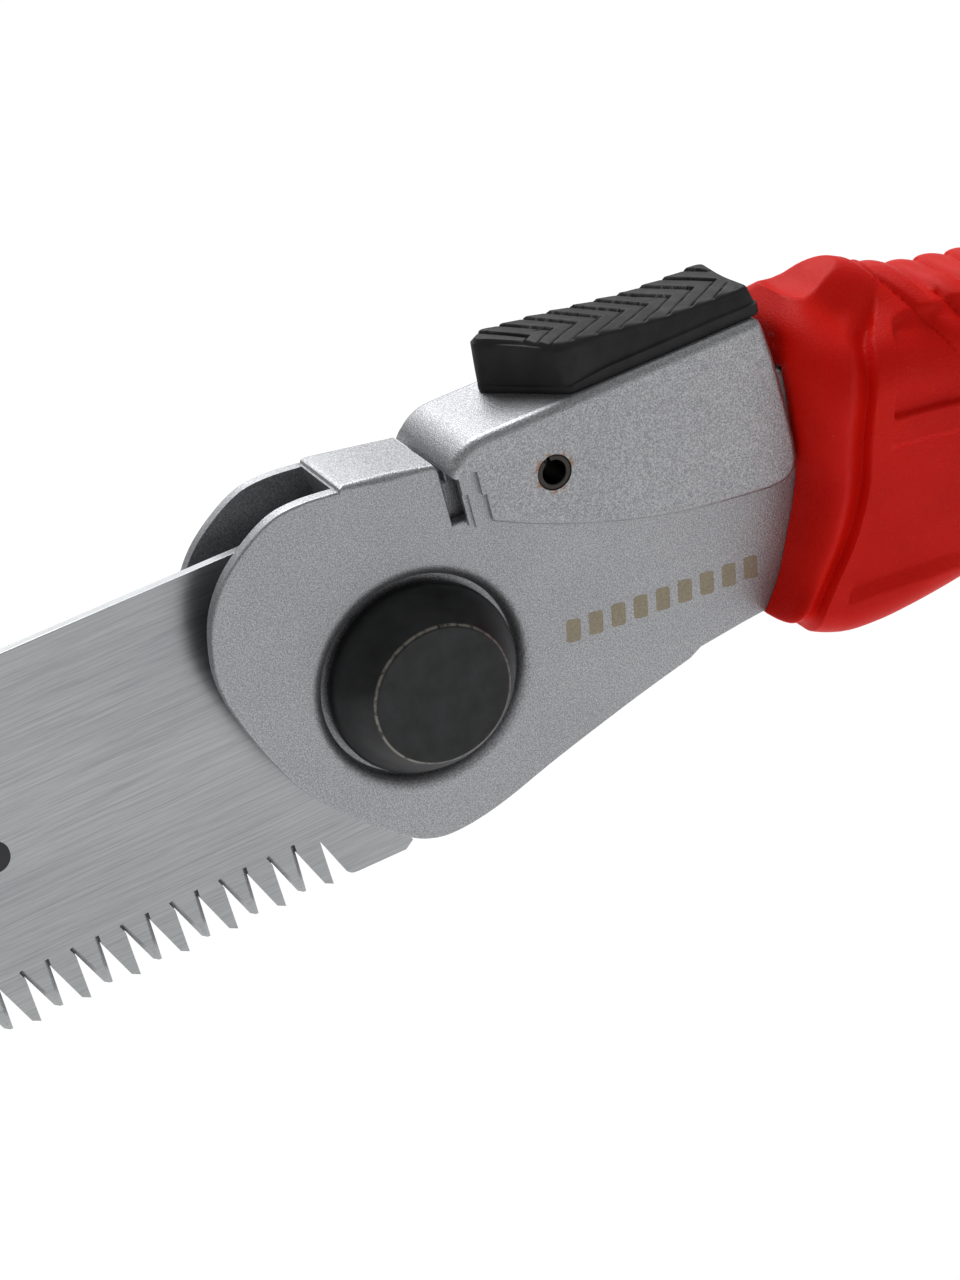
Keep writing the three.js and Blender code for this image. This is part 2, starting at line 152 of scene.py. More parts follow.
# The dish in the hump: X and height of its floor.
DISH_LINE = [(50, 25.6), (53, 24.2), (55, 23.4), (56.8, 23.6), (59, 24.4), (61, 24.9), (64, 25.5)]
DISH_END = 63.5
DISH_FLARE = 0.02  # how fast the floor rises to the sides
DISH_EDGE = 0.3
BEAD_HEIGHT = 0.3
CREASE_DEPTH = 1.6
CREASE_SWEEP = 4.2  # how far the crease runs back over the top
PANEL_DEPTH = 0.85
PANEL_END = 200
RIB_START = 66.4
RIB_PITCH = 4.2
RIB_HEIGHT = 1.15
RIB_LEAN = 0.5
RIB_END = 118
# The front of the rubber and the crease behind its bead: X for heights Z.
FRONT_LINE = [
    (-10.4, 41.7), (-7, 44.1), (-2.4, 46.3), (2, 48.2), (4.4, 49), (7, 49.4), (13, 49.8), (20, 50.4),
    (22.4, 51.2), (24.4, 53.4),
]
CREASE_LINE = [
    (-15, 44.2), (-10.3, 45.1), (-7.2, 47.3), (-3.2, 50.5), (3.3, 54), (8.1, 55.3), (15.1, 57.8),
    (20.3, 60.4), (25, 61.4),
]
# Tail stations: X, bottom, top, half width.
TAIL = [
    (226.4, -57.6, -28.6, 12),
    (230, -58.9, -30.6, 11.8),
    (234, -59.4, -34, 11.1),
    (237.5, -58.3, -37.6, 9.7),
    (239.6, -56.4, -40.8, 7.9),
    (240.5, -53.6, -44.6, 5),
]


# ---- shapes ----
def place(points):
    """Points in the row frame's metres from millimetres about the pivot."""
    return np.asarray(points, float) * MM + np.array(MID)


def mesh_object(name, points, faces):
    mesh = bpy.data.meshes.new(name)
    mesh.from_pydata([tuple(p) for p in place(points)], [], faces)
    obj = bpy.data.objects.new(name, mesh)
    bpy.context.scene.collection.objects.link(obj)
    clean(obj)
    return obj


def clean(obj):
    """Joins doubled points, drops faces without area and turns every face outward."""
    bm = bmesh.new()
    bm.from_mesh(obj.data)
    bmesh.ops.remove_doubles(bm, verts=bm.verts, dist=2e-7)
    bmesh.ops.dissolve_degenerate(bm, edges=bm.edges, dist=2e-7)
    bmesh.ops.recalc_face_normals(bm, faces=bm.faces)
    bm.to_mesh(obj.data)
    bm.free()


def loft(name, rings, across=False):
    """Rings of points joined in order, a face over each end, or strips across the first one."""
    rings = np.asarray(rings, float)
    count, around = rings.shape[:2]
    faces = []
    for k in range(count - 1):
        for i in range(around):
            j = (i + 1) % around
            faces.append((k * around + i, k * around + j, (k + 1) * around + j, (k + 1) * around + i))
    if across:
        quarter = around // 4
        for i in range(-quarter, quarter):
            opposite = 2 * quarter - i
            strip = [i % around, (i + 1) % around, (opposite - 1) % around, opposite % around]
            faces.append(tuple(dict.fromkeys(strip)))
    else:
        faces.append(tuple(range(around)))
    faces.append(tuple(range((count - 1) * around, count * around)))
    return mesh_object(name, rings.reshape(-1, 3), faces)


def curve(points, steps=6):
    """A smooth line through the points, both ends kept."""
    p = np.array([points[0], *points, points[-1]], float)
    line = []
    for i in range(1, len(p) - 2):
        for t in np.linspace(0, 1, steps, endpoint=False):
            line.append(0.5 * (
                2 * p[i] + (p[i + 1] - p[i - 1]) * t
                + (2 * p[i - 1] - 5 * p[i] + 4 * p[i + 1] - p[i + 2]) * t ** 2
                + (3 * p[i] - p[i - 1] - 3 * p[i + 1] + p[i + 2]) * t ** 3
            ))
    line.append(p[-2])
    return [tuple(q) for q in line]


def arc(centre, radius, start, end, steps):
    angles = np.radians(np.linspace(start, end, steps + 1))
    return [(centre[0] + radius * math.cos(a), centre[1] + radius * math.sin(a)) for a in angles]


def fillet(corners, step=0.3):
    """A closed outline from corners (a, b, radius), each rounded by an arc."""
    line = []
    for i, (a, b, radius) in enumerate(corners):
        corner = Vector((a, b))
        back = (Vector(corners[i - 1][:2]) - corner).normalized()
        ahead = (Vector(corners[(i + 1) % len(corners)][:2]) - corner).normalized()
        half = back.angle(ahead) / 2
        centre = corner + (back + ahead).normalized() * (radius / math.sin(half))
        first = corner + back * (radius / math.tan(half)) - centre
        last = corner + ahead * (radius / math.tan(half)) - centre
        turn = math.atan2(first.x * last.y - first.y * last.x, first.dot(last))
        steps = max(3, int(radius * abs(turn) / step) + 1)
        for k in range(steps + 1):
            t = turn * k / steps
            x = first.x * math.cos(t) - first.y * math.sin(t)
            y = first.x * math.sin(t) + first.y * math.cos(t)
            line.append((centre.x + x, centre.y + y))
    return line


def anticlockwise(outline):
    p = np.asarray(outline, float)
    keep = np.linalg.norm(p - np.roll(p, 1, 0), axis=1) > 1e-4
    p = p[keep]
    q = np.roll(p, -1, 0)
    area = (p[:, 0] * q[:, 1] - q[:, 0] * p[:, 1]).sum()
    return p if area > 0 else p[::-1]


def resample(outline, spacing):
    """The outline again with points at an even spacing."""
    p = anticlockwise(outline)
    closed = np.vstack([p, p[:1]])
    run = np.r_[0, np.cumsum(np.linalg.norm(np.diff(closed, axis=0), axis=1))]
    at = np.arange(0, run[-1], run[-1] / round(run[-1] / spacing))
    return np.c_[np.interp(at, run, closed[:, 0]), np.interp(at, run, closed[:, 1])]


def outward(p):
    """Mitred directions out of an anticlockwise outline."""
    ahead = np.roll(p, -1, 0) - p
    behind = p - np.roll(p, 1, 0)
    sides = [np.c_[d[:, 1], -d[:, 0]] / np.linalg.norm(d, axis=1, keepdims=True) for d in (ahead, behind)]
    middle = sides[0] + sides[1]
    middle /= np.maximum(np.linalg.norm(middle, axis=1, keepdims=True), 1e-6)
    return middle / np.clip((middle * sides[0]).sum(1, keepdims=True), 0.5, 1)


def slab(name, outline, y0, y1, rim, steps=5):
    """An outline in X and Z given depth along Y. The rim is a radius, or a function of X and Z."""
    p = anticlockwise(outline)
    out = outward(p)
    radius = np.array([[rim(x, z) if callable(rim) else float(rim)] for x, z in p])
    half = []
    for a in np.linspace(0, math.pi / 2, steps + 1):
        flat = p - out * radius * (1 - math.sin(a))
        half.append((flat, radius[:, 0] * (1 - math.cos(a))))
    rings = [np.c_[flat[:, 0], y0 + rise, flat[:, 1]] for flat, rise in half]
    rings += [np.c_[flat[:, 0], y1 - rise, flat[:, 1]] for flat, rise in reversed(half)]
    return loft(name, rings)


def lathe(name, profile, sides, at=(0, 0)):
    """A profile of (radius, y) turned about a line along Y."""
    angles = np.linspace(0, 2 * math.pi, sides, endpoint=False)
    return loft(name, [
        np.c_[at[0] + r * np.cos(angles), np.full(sides, y), at[1] + r * np.sin(angles)] for r, y in profile
    ])


def bar(radius, y0, y1, at=(0, 0)):
    """A round tool along Y."""
    return lathe("tool", [(radius, y0), (radius, y1)], 64, at)


def block(x0, x1, y0, y1, z0, z1):
    """A square tool."""
    return slab("tool", [(x0, z0), (x1, z0), (x1, z1), (x0, z1)], y0, y1, 0.001, 1)


def apply_modifiers(obj):
    bpy.context.view_layer.update()
    depsgraph = bpy.context.evaluated_depsgraph_get()
    mesh = bpy.data.meshes.new_from_object(obj.evaluated_get(depsgraph))
    obj.modifiers.clear()
    obj.data = mesh


def combine(obj, operation, *tools):
    for tool in tools:
        modifier = obj.modifiers.new("shape", "BOOLEAN")
        modifier.operation = operation
        modifier.solver = "EXACT"
        modifier.object = tool
    apply_modifiers(obj)
    for tool in tools:
        bpy.data.objects.remove(tool)


def cut(obj, *tools):
    combine(obj, "DIFFERENCE", *tools)


def add(obj, *tools):
    combine(obj, "UNION", *tools)


def finish_piece(obj, name, look, body, nodes=(), angle=32, weighted=True):
    """Shading, material and the body that a finished piece rides on."""
    clean(obj)
    obj.name = name
    obj.data.name = name
    obj.data.shade_smooth()
    obj.data.set_sharp_from_angle(angle=math.radians(angle))
    if weighted:
        modifier = obj.modifiers.new("even normals", "WEIGHTED_NORMAL")
        modifier.keep_sharp = True
    obj.data.materials.clear()
    obj.data.materials.append(look)
    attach(obj, body)
    if nodes:
        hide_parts(*nodes)


def spline(stations, x):
    """Smooth values along X from stations whose first number is X."""
    s = np.array(stations, float)
    xs, ys = s[:, 0], s[:, 1:]
    slope = np.gradient(ys, xs, axis=0)
    x = np.clip(np.atleast_1d(x), xs[0], xs[-1])
    k = np.clip(np.searchsorted(xs, x) - 1, 0, len(xs) - 2)
    width = xs[k + 1] - xs[k]
    t = ((x - xs[k]) / width)[:, None]
    w = width[:, None]
    return (
        (2 * t ** 3 - 3 * t ** 2 + 1) * ys[k] + (t ** 3 - 2 * t ** 2 + t) * w * slope[k]
        + (3 * t ** 2 - 2 * t ** 3) * ys[k + 1] + (t ** 3 - t ** 2) * w * slope[k + 1]
    )


def smoothstep(low, high, x):
    """0 to 1 with soft ends as x goes from low to high."""
    t = np.clip((x - low) / (high - low), 0, 1)
    return t * t * (3 - 2 * t)


# ---- materials ----
class Look:
    """A Principled material with short calls for its nodes. Patterns lie in the object's own metres."""

    def __init__(self, name, colour, metallic, roughness, **values):
        self.material = bpy.data.materials.new(name)
        self.material.use_nodes = True
        self.tree = self.material.node_tree
        self.shader = self.tree.nodes["Principled BSDF"]
        self.shader.inputs["Base Color"].default_value = (*colour, 1)
        self.shader.inputs["Metallic"].default_value = metallic
        self.shader.inputs["Roughness"].default_value = roughness
        for key, value in values.items():
            self.shader.inputs[key.replace("_", " ")].default_value = value
        self.coordinates = self.tree.nodes.new("ShaderNodeTexCoord")
        self.height = None

    def node(self, kind, **settings):
        made = self.tree.nodes.new(kind)
        for key, value in settings.items():
            setattr(made, key, value)
        return made

    def link(self, out, into):
        self.tree.links.new(out, into)

    def stretched(self, scale):
        mapping = self.node("ShaderNodeMapping")
        mapping.inputs["Scale"].default_value = scale
        self.link(self.coordinates.outputs["Object"], mapping.inputs["Vector"])
        return mapping.outputs["Vector"]

    def noise(self, size, stretch=(1, 1, 1), detail=3, roughness=0.5):
        """Noise with blobs of about size millimetres, longer where stretch is under 1."""
        made = self.node("ShaderNodeTexNoise")
        made.inputs["Scale"].default_value = 1 / (size * MM)
        made.inputs["Detail"].default_value = detail
        made.inputs["Roughness"].default_value = roughness
        self.link(self.stretched(stretch), made.inputs["Vector"])
        return made.outputs["Fac"]

    def ramp(self, value, *stops):
        made = self.node("ShaderNodeValToRGB")
        ramp = made.color_ramp
        while len(ramp.elements) < len(stops):
            ramp.elements.new(0.5)
        for element, (position, colour) in zip(ramp.elements, stops):
            element.position = position
            element.color = (*colour, 1)
        self.link(value, made.inputs["Fac"])
        return made.outputs["Color"]

    def math(self, operation, a, b=0.0):
        made = self.node("ShaderNodeMath", operation=operation)
        for socket, value in zip(made.inputs, (a, b)):
            if isinstance(value, (int, float)):
                socket.default_value = value
            else:
                self.link(value, socket)
        return made.outputs[0]

    def band(self, value, low, high):
        """0 to 1 as value goes from low to high."""
        made = self.node("ShaderNodeMapRange", interpolation_type="SMOOTHSTEP")
        made.inputs["From Min"].default_value = low
        made.inputs["From Max"].default_value = high
        self.link(value, made.inputs["Value"])
        return made.outputs["Result"]

    def mix(self, factor, a, b):
        made = self.node("ShaderNodeMix", data_type="RGBA")
        for socket, value in ((made.inputs[0], factor), (made.inputs[6], a), (made.inputs[7], b)):
            if isinstance(value, tuple):
                socket.default_value = (*value, 1)
            elif isinstance(value, (int, float)):
                socket.default_value = value
            else:
                self.link(value, socket)
        return made.outputs[2]

    def multiply(self, a, b):
        made = self.node("ShaderNodeMix", data_type="RGBA", blend_type="MULTIPLY")
        made.inputs[0].default_value = 1
        self.link(a, made.inputs[6])
        self.link(b, made.inputs[7])
        return made.outputs[2]

    def distance(self, x, z):
        """Distance in millimetres from a line along Y at x, z."""
        flat = self.stretched((1 / MM, 0, 1 / MM))
        made = self.node("ShaderNodeVectorMath", operation="DISTANCE")
        self.link(flat, made.inputs[0])
        made.inputs[1].default_value = (x, 0, z)
        return made.outputs["Value"]

    def colour(self, source):
        self.link(source, self.shader.inputs["Base Color"])

    def roughness(self, value, low, high):
        made = self.node("ShaderNodeMapRange")
        made.inputs["To Min"].default_value = low
        made.inputs["To Max"].default_value = high
        self.link(value, made.inputs["Value"])
        self.link(made.outputs["Result"], self.shader.inputs["Roughness"])

    def bump(self, value, millimetres, strength):
        """Bump from a height, on top of any bump already there."""
        made = self.node("ShaderNodeBump")
        made.inputs["Distance"].default_value = millimetres * MM
        made.inputs["Strength"].default_value = strength
        self.link(value, made.inputs["Height"])
        if self.height is not None:
            self.link(self.height, made.inputs["Normal"])
        self.height = made.outputs["Normal"]
        self.link(self.height, self.shader.inputs["Normal"])


def cast_silver():
    look = Look("cast silver", (0.45, 0.455, 0.47), 0.85, 0.42)
    grain = look.noise(0.16, detail=4, roughness=0.6)
    cloud = look.noise(9, detail=2)
    speckle = look.ramp(
        grain, (0.32, (0.22, 0.225, 0.235)), (0.5, (0.38, 0.385, 0.4)), (0.68, (0.6, 0.605, 0.62)))
    both = look.multiply(speckle, look.ramp(cloud, (0.3, (0.94, 0.94, 0.95)), (0.7, (1, 1, 1))))
    # A little rust where the lever's pin comes through.
    rust_edge = look.band(look.distance(*PIN), PIN_R + 0.75, PIN_R + 0.1)
    rust = look.math("MULTIPLY", rust_edge, look.band(look.noise(0.7, detail=3), 0.42, 0.6))
    look.colour(look.mix(look.math("MULTIPLY", rust, 0.75), both, (0.3, 0.13, 0.05)))
    look.roughness(grain, 0.36, 0.52)
    look.bump(look.noise(0.2, detail=2), 0.05, 0.9)
    look.bump(look.noise(0.7, detail=2), 0.05, 0.35)
    return look.material


def ground_steel():
    look = Look("ground steel", (0.42, 0.43, 0.44), 1, 0.3)
    lines = look.noise(0.16, (0.02, 1, 1), detail=4, roughness=0.65)
    wide = look.noise(1.1, (0.04, 1, 1), detail=3)
    cloud = look.noise(14, (0.5, 1, 1), detail=2)
    tone = look.ramp(
        lines, (0.25, (0.29, 0.3, 0.305)), (0.5, (0.39, 0.4, 0.405)), (0.8, (0.5, 0.51, 0.515)))
    look.colour(look.multiply(tone, look.ramp(cloud, (0.3, (0.88, 0.89, 0.9)), (0.7, (1, 1, 1)))))
    look.roughness(lines, 0.24, 0.4)
    look.bump(lines, 0.008, 0.7)
    look.bump(wide, 0.012, 0.5)
    return look.material


def black_oxide():
    look = Look("black oxide", (0.028, 0.029, 0.031), 0.55, 0.36)
    cloud = look.noise(2.4, detail=4)
    scratch = look.noise(0.12, (0.05, 1, 1), detail=3)
    base = look.ramp(cloud, (0.3, (0.013, 0.0135, 0.014)), (0.7, (0.026, 0.027, 0.029)))
    # The black is worn off in patches along the edge of the button's face.
    from_edge = look.math("ABSOLUTE", look.math("SUBTRACT", look.distance(0, 0), BUTTON_TOP_R + 0.08))
    patches = look.band(look.noise(0.8, detail=3), 0.3, 0.55)
    worn = look.math("MULTIPLY", look.band(from_edge, 0.2, 0.02), patches)
    look.colour(look.mix(look.math("MULTIPLY", worn, 0.8), base, (0.27, 0.25, 0.22)))
    look.roughness(cloud, 0.3, 0.44)
    look.bump(scratch, 0.006, 0.5)
    return look.material


def plain_metal(name, colour, roughness):
    look = Look(name, colour, 1, roughness)
    value = look.noise(0.3, detail=3)
    dark = tuple(c * 0.8 for c in colour)
    look.colour(look.ramp(value, (0.3, dark), (0.7, colour)))
    look.roughness(value, roughness - 0.06, roughness + 0.08)
    look.bump(value, 0.01, 0.4)
    return look.material


def black_rubber():
    look = Look("black rubber", (0.014, 0.014, 0.015), 0, 0.6, Specular_IOR_Level=0.35)
    fine = look.noise(0.12, detail=3)
    cloud = look.noise(2.6, detail=4)
    look.colour(look.ramp(cloud, (0.35, (0.009, 0.009, 0.01)), (0.7, (0.018, 0.018, 0.019))))
    look.roughness(look.noise(1.4, detail=4), 0.48, 0.72)
    look.bump(fine, 0.012, 0.5)
    look.bump(look.noise(0.9, detail=3), 0.04, 0.35)
    return look.material


def dark_nylon():
    look = Look("dark nylon", (0.035, 0.036, 0.04), 0, 0.5)
    fine = look.noise(0.25, detail=3)
    look.colour(look.ramp(fine, (0.3, (0.028, 0.029, 0.032)), (0.7, (0.045, 0.046, 0.05))))
    look.roughness(fine, 0.42, 0.6)
    look.bump(fine, 0.02, 0.5)
    return look.material


def red_rubber():
    look = Look("red rubber", (0.66, 0.004, 0.001), 0, 0.46, Specular_IOR_Level=0.11)
    grain = look.noise(0.22, detail=4, roughness=0.65)
    cloud = look.noise(7, detail=3)
    base = look.ramp(cloud, (0.3, (0.62, 0.004, 0.001)), (0.7, (0.7, 0.007, 0.0015)))
    dust = look.band(look.noise(0.3, detail=2), 0.66, 0.76)
    look.colour(look.mix(look.math("MULTIPLY", dust, 0.16), base, (0.8, 0.14, 0.08)))
    look.roughness(grain, 0.36, 0.56)
    look.bump(grain, 0.09, 0.9)
    look.bump(look.noise(1.6, detail=2), 0.04, 0.2)
    return look.material


def mark(name, colour, roughness, metallic):
    look = Look(name, colour, metallic, roughness)
    value = look.noise(0.25, detail=3)
    look.colour(look.ramp(value, (0.3, tuple(c * 0.75 for c in colour)), (0.7, colour)))
    look.bump(value, 0.01, 0.5)
    return look.material


# ---- the blade ----
def tooth_x(i):
    """The upright flank of a tooth, counted from the handle."""
    return FIRST_TOOTH_X - i * TOOTH_PITCH


def blade_outline():
    teeth = []
    for i in range(TOOTH_COUNT):
        x = tooth_x(i)
        teeth += [(x, TIP_Z + TOOTH_DEPTH), (x, TIP_Z), (x - TOOTH_FACET[0], TIP_Z + TOOTH_FACET[1])]
    end = tooth_x(TOOTH_COUNT)
    nose = [(end, TIP_Z + TOOTH_DEPTH), (end - 1, TIP_Z + 0.8)]
    nose += curve([
        (end - 1.6, TIP_Z + 0.6), (end - 3.6, TIP_Z + 1), (end - 4.8, TIP_Z + 3), (end - 5.2, -11),
        (end - 4.8, -6), (end - 3.4, -3.4), (end - 0.4, -1.4),
    ], 4)
    spine = curve([(-190, 5.6), (-150, 12.8), (-110, 18), (-80, 20.3), (-58, SPINE_Z)])
    hook = [(-4, SPINE_Z)] + curve([(1, 20.2), (3.4, 19), (4.2, 17.2), (4.6, 13.7)], 4)
    cam = arc((0, 0), TANG_R, 70, -126, 40)
    heel = [(-8.7, -11.6), (-4.9, -21.2), (-6, -22)]
    heel += curve([(-12.2, -21.9), (-12.9, -21.75), (-13.4, -21.3)], 4)
    return teeth + nose + spine + hook + cam + heel


def wedge(start, end, inward, side):
    """A long three-sided tool that grinds a bevel along a tooth's flank."""
    start, end, inward = Vector(start), Vector(end), Vector(inward)
    over = 0.08
    slope = BEVEL_DEPTH / BEVEL_WIDTH
    section = [
        (-over, side * (BLADE_HALF - BEVEL_DEPTH - slope * over)),
        (BEVEL_WIDTH + over, side * (BLADE_HALF + slope * over)),
        (-over, side * (BLADE_HALF + slope * over)),
    ]
    points = []
    for centre in (start, end):
        for s, y in section:
            p = centre + inward * s
            points.append((p.x, y, p.y))
    faces = [(0, 1, 2), (3, 4, 5), (0, 1, 4, 3), (1, 2, 5, 4), (2, 0, 3, 5)]
    return points, faces


def bevel_tool(flank):
    """All the wedges for one flank of the teeth, each tooth ground on one face in turn."""
    points, faces = [], []
    rise = TOOTH_DEPTH - TOOTH_FACET[1]
    run = TOOTH_PITCH - TOOTH_FACET[0]
    along = Vector((-run, rise)).normalized()
    for i in range(TOOTH_COUNT):
        x = tooth_x(i)
        side = -1 if i % 2 else 1
        if flank == "handle side":
            start = (x, TIP_Z - 0.3)
            end = (x, TIP_Z + TOOTH_DEPTH + BEVEL_RUNOUT)
            inward = (-1, 0)
        else:
            tip = Vector((x - TOOTH_FACET[0], TIP_Z + TOOTH_FACET[1]))
            start = tip - along * 0.8
            end = tip + along * (math.hypot(run, rise) + BEVEL_RUNOUT)
            inward = (along.y, -along.x)
        p, f = wedge(start, end, inward, side)
        faces += [tuple(k + len(points) for k in face) for face in f]
        points += p
    return mesh_object("tool", points, faces)


def set_teeth(obj):
    """Leans the teeth to each side in turn, below the line of the gullets."""
    gullet = TIP_Z + TOOTH_DEPTH
    bm = bmesh.new()
    bm.from_mesh(obj.data)
    start = gullet - 0.05
    cuts, spacing = 5, 1.15
    for k in range(cuts):
        level = start - spacing * k
        bmesh.ops.bisect_plane(
            bm, geom=bm.verts[:] + bm.edges[:] + bm.faces[:], dist=1e-7,
            plane_co=place((0, 0, level)), plane_no=(0, 0, 1))
    for vertex in bm.verts:
        x, z = vertex.co.x / MM, vertex.co.z / MM
        if z < start and x < FIRST_TOOTH_X + 0.1:
            i = int((FIRST_TOOTH_X - x) / TOOTH_PITCH + 1e-3)
            lean = (1 if i % 2 else -1) * TOOTH_SET * ((gullet - z) / TOOTH_DEPTH) ** 1.3
            if i < TOOTH_COUNT:
                vertex.co.y += lean * MM
    bm.to_mesh(obj.data)
    bm.free()


def make_blade():
    spine_rim = lambda x, z: 0.14 if z > -10 and x < -14 else 0.02
    obj = slab("blade_plate", blade_outline(), -BLADE_HALF, BLADE_HALF, spine_rim, 3)
    cut(obj, bar(BLADE_BORE_R, -3, 3))
    cut(obj, bevel_tool("handle side"))
    cut(obj, bevel_tool("nose side"))
    set_teeth(obj)
    finish_piece(obj, "blade_plate", STEEL, "blade", ["blade"], angle=12, weighted=False)


def make_blade_mark():
    """A plain printed bar where the real blade has a printed mark."""
    outline = fillet([(-76, -2.9, 1.6), (-48.3, -2.9, 1.8), (-48.3, 0.9, 1.8), (-76, 0.9, 1.6)])
    obj = slab("blade_print", outline, -BLADE_HALF - PRINT_PROUD, -BLADE_HALF + 0.05, 0.01, 2)
    finish_piece(obj, "blade_print", PRINT, "blade")


# ---- the head ----
def cheek_outline():
    bridge = [(7.8, 15.9), (7.8, 22.6), (7.4, 23.3), (2, 24.5), (-2.9, 25.3), (-3.4, 25.1), (-3.6, 24.8)]
    front = curve([
        (-3.9, 24.9), (-8, 25.3), (-11.6, 24.9), (-15.4, 22.9), (-18.6, 20.2), (-20.9, 16.6), (-22.1, 11.9),
        (-22.1, 8.2), (-21.2, 4.2), (-19.4, -1), (-16.8, -6.6), (-12.4, -12.2), (-7.6, -17), (-4.4, -19.1),
        (-0.8, -19.7), (4.8, -18.9), (13, -16.5), (23.4, -13.8), (31.4, -12),
    ])
    tongue = [
        (33, -11.2), (38.8, -10.6), (55, -9.4), (80, -10.2), (100, -15), (100, 5), (80, 11), (60, 16.2),
    ]
    under_lever = [(48.5, 17.2), (20.5, 22), (14.6, 21.6), (12.4, 19.6), (11.9, 15.9)]
    return bridge + front + tongue + under_lever


def dish_tool(side):
    """The recess round the button, with a rolled-in rim."""
    roll = []
    for a in np.linspace(0, math.pi / 2, 9):
        r = DISH_RIM_R - (DISH_RIM_R - DISH_R) * math.sin(a)
        y = CHEEK_OUT - (CHEEK_OUT - DISH_FLOOR) * (1 - math.cos(a))
        roll.append((r, side * y))
    return lathe("tool", [(DISH_RIM_R, side * (CHEEK_OUT + 1)), *roll, (0, side * DISH_FLOOR)], 128)


def head_rim(x, z):
    """Radius of the head's rims: fuller on the bridge."""
    on_bridge = 0 if z < 22.9 else min(x + 3.2, 7.6 - x)
    return 0.3 + min(0.7, max(0, on_bridge))


def make_head():
    obj = slab("head", cheek_outline(), -CHEEK_OUT, CHEEK_OUT, head_rim)
    # The space between the cheeks leaves the bridge standing.
    cavity = [
        (-40, 40), (-3.7, 40), (-3.9, 24.6), (-3.5, 21.6), (7.85, 21.8), (7.85, 40), (120, 40), (120, -40),
        (-40, -40),
    ]
    cut(obj, slab("tool", cavity, -CHEEK_IN, CHEEK_IN, 0.001, 1))
    bosses = [
        bar(BLADE_BOSS_R, -CHEEK_IN - 0.4, -1.9), bar(BLADE_BOSS_R, 2.9, CHEEK_IN + 0.4),
        bar(PIN_BOSS_R, -CHEEK_IN - 0.4, -2.4, PIN), bar(PIN_BOSS_R, 2.4, CHEEK_IN + 0.4, PIN),
    ]
    inside = CHEEK_IN + 0.5
    seat = block(33, 41, -inside, inside, 13.3, 14.9)
    web = slab("tool", [(62, 12.4), (96, 2.6), (96, 5.8), (80, 10.5), (62, 15.4)], -inside, inside, 0.01, 1)
    for part in (*bosses, seat, web):
        add(obj, part)
    bores = [
        bar(SHANK_R + 0.3, -THROUGH, THROUGH), bar(PIN_R + 0.08, -THROUGH, THROUGH, PIN),
        bar(3.1, -THROUGH, THROUGH, SCREWS[0]),
    ]
    for part in (dish_tool(-1), dish_tool(1), *bores):
        cut(obj, part)
    finish_piece(obj, "head", SILVER, "handle", ["head_frame"])


def make_etched_mark():
    """Plain slanted bars where the real head has an etched name."""
    start, step, slant, corner = 17.2, 2.85, -0.09, 0.35
    for i in range(9):
        x = start + i * step
        z = -0.7 + slant * (x - start)
        corners = [(x, z - 2.7), (x + 1.75, z - 3.05), (x + 2.25, z - 0.35), (x + 0.5, z)]
        outline = fillet([(*at, corner) for at in corners], 0.1)
        obj = slab("etched_bar", outline, -CHEEK_OUT - ETCH_PROUD, -CHEEK_OUT + 0.05, 0.005, 1)
        finish_piece(obj, "etched_bar_%d" % (i + 1), ETCH, "handle")


def make_button():
    flat_r = BUTTON_TOP_R - 0.25
    edge_drop, cone_height, cone_bulge = 0.22, 3.9, 0.25
    profile = [(0, -BUTTON_FACE), (flat_r, -BUTTON_FACE)]
    for a in np.linspace(0, 1, 4):
        profile.append((flat_r + 0.33 * a, -BUTTON_FACE + edge_drop * a ** 1.6))
    for t in np.linspace(0.08, 1, 8):
        r = BUTTON_TOP_R + 0.1 + (BUTTON_R - BUTTON_TOP_R - 0.5) * t
        y = -BUTTON_FACE + edge_drop + cone_height * t - cone_bulge * math.sin(math.pi * t)
        profile.append((r, y))
    profile += [
        (BUTTON_R - 0.15, -6.0), (BUTTON_R, -5.4), (BUTTON_R, -4.5), (SHANK_R, -4.5), (SHANK_R, 8), (0, 8),
    ]
    obj = lathe("pivot_button", profile, 160)
    finish_piece(obj, "pivot_button", OXIDE, "handle", ["pivot_bolt"], angle=24)


def make_pivot_nut():
    bore = SHANK_R + 0.3
    profile = [
        (bore, 4.5), (BUTTON_R - 0.2, 4.5), (BUTTON_R, 4.7), (BUTTON_R, 5.6), (10.9, 6), (8.9, 8.9),
        (8.5, 9.2), (0, 9.2), (0, 8.3), (bore, 8.3), (bore, 4.5),
    ]
    obj = lathe("pivot_nut_cap", profile, 128)
    cut(obj, block(-20, 20, 8.4, 12, -1, 1))
    finish_piece(obj, "pivot_nut_cap", OXIDE, "handle", ["pivot_nut"], angle=24)


# ---- the lock ----
def lever_outline():
    skirt = curve([
        (11.6, 15.2), (13.2, 14.3), (17, 12.4), (21, 10.7), (26.9, 8.5), (32.9, 6.8), (39.2, 5.6),
        (44.6, 4.85),
    ], 5)
    heel = arc((46.2, 7.6), 2.75, -90, -8, 8)
    rear = [(49.1, 9), (49, 14), (48.6, 20)]
    top = arc((46.9, 23.7), 1.3, 12, 90, 6)
    nose = curve([(14, LEVER_TOP), (12, 24.9), (10.3, 24.3), (9, 23.3), (8.35, 22.1)], 6)
    wall = [(8.7, 21.6), (9.3, 21.4), (9.3, 15.4), (10.2, 14.9)]
    return skirt + heel + rear + top + nose + wall


def lever_rim(x, z):
    """Radius of the lever's rims: sharp at the front wall, full along the top."""
    if x < 11.5 and z < 21.8:
        return 0.15
    if z > 21.8:
        from_lip = math.hypot(x - 8.4, z - 22)
        return min(1.15, 0.2 + 0.6 * from_lip)
    return 0.7


